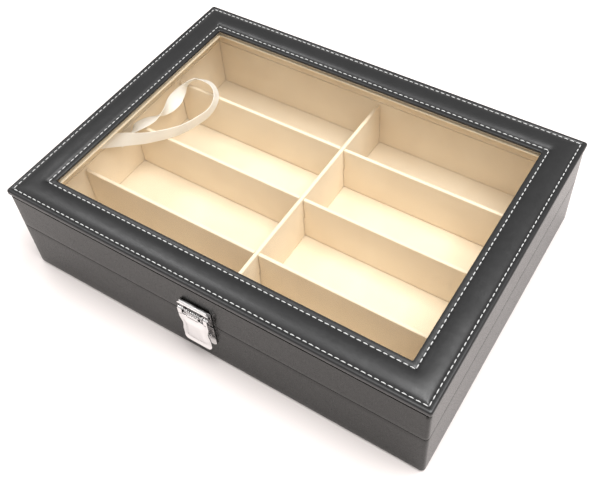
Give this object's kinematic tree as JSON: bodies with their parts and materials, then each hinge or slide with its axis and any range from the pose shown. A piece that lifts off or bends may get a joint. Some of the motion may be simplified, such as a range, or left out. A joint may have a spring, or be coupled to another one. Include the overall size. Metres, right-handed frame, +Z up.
{
  "type": "glasses display case",
  "caption": "Rectangular leather-covered glasses organizer with a hinged window lid, padded stitched frame, velvet compartments, ribbon lid stay and sprung front latch.",
  "frame": {"origin": "middle of the case's footprint, latch and hinges counted, on the surface that it stands on", "axes": "+X along the long side, to the right seen from the latch; +Y from the latch to the hinges; +Z up"},
  "size_m": [0.335, 0.2536, 0.084],
  "materials": {
    "black_leather": "soft grained, padded, white stitching",
    "fibreboard": "raw board, hidden",
    "cream_velvet": "short velvet pile",
    "black_felt": "matte felt",
    "foam": "open-cell foam, hidden",
    "clear_pane": "clear, polished",
    "chromed_steel": "polished",
    "satin_ribbon": "satin weave"
  },
  "bodies": {
    "base": {"base_floor_board": "fibreboard", "base_front_board": "fibreboard", "base_back_board": "fibreboard", "base_left_board": "fibreboard", "base_right_board": "fibreboard", "base_leather_wrap": "black_leather", "base_bottom_felt": "black_felt", "base_floor_lining": "cream_velvet", "base_front_lining": "cream_velvet", "base_back_lining": "cream_velvet", "base_left_lining": "cream_velvet", "base_right_lining": "cream_velvet", "centre_divider": "cream_velvet", "cross_divider_front": "cream_velvet", "cross_divider_middle": "cream_velvet", "cross_divider_back": "cream_velvet", "left_hinge_base_leaf": "chromed_steel", "right_hinge_base_leaf": "chromed_steel", "left_hinge_pin": "chromed_steel", "right_hinge_pin": "chromed_steel", "left_hinge_base_left_nail": "chromed_steel", "left_hinge_base_right_nail": "chromed_steel", "right_hinge_base_left_nail": "chromed_steel", "right_hinge_base_right_nail": "chromed_steel", "latch_strike_plate": "chromed_steel", "latch_strike_left_nail": "chromed_steel", "latch_strike_right_nail": "chromed_steel", "lid_stay_ribbon": "satin_ribbon"},
    "lid": {"lid_front_board": "fibreboard", "lid_back_board": "fibreboard", "lid_left_board": "fibreboard", "lid_right_board": "fibreboard", "lid_leather_wrap": "black_leather", "lid_window_board": "fibreboard", "lid_frame_padding": "foam", "lid_frame_leather": "black_leather", "window_pane": "clear_pane", "window_retainer": "cream_velvet", "lid_front_lining": "cream_velvet", "lid_back_lining": "cream_velvet", "lid_left_lining": "cream_velvet", "lid_right_lining": "cream_velvet", "left_hinge_lid_leaf": "chromed_steel", "right_hinge_lid_leaf": "chromed_steel", "left_hinge_lid_left_nail": "chromed_steel", "left_hinge_lid_right_nail": "chromed_steel", "right_hinge_lid_left_nail": "chromed_steel", "right_hinge_lid_right_nail": "chromed_steel", "latch_lid_plate": "chromed_steel", "latch_plate_left_nail": "chromed_steel", "latch_plate_right_nail": "chromed_steel", "latch_pin": "chromed_steel", "latch_spring": "chromed_steel"},
    "latch_flap": {"latch_flap": "chromed_steel"}
  },
  "joints": [
    {"name": "lid_hinge", "type": "hinge", "parent": "base", "child": "lid", "pos_m": [0, 0.12485, 0.04615], "axis": [-1, 0, 0], "range_deg": [0, 88], "deforming": ["lid_stay_ribbon"]},
    {"name": "latch_flap_hinge", "type": "hinge", "parent": "lid", "child": "latch_flap", "pos_m": [-0.004, -0.12425, 0.055], "axis": [-1, 0, 0], "range_deg": [0, 70], "stiffness_Nm_per_rad": 0.02, "springref_deg": -17.19}
  ]
}
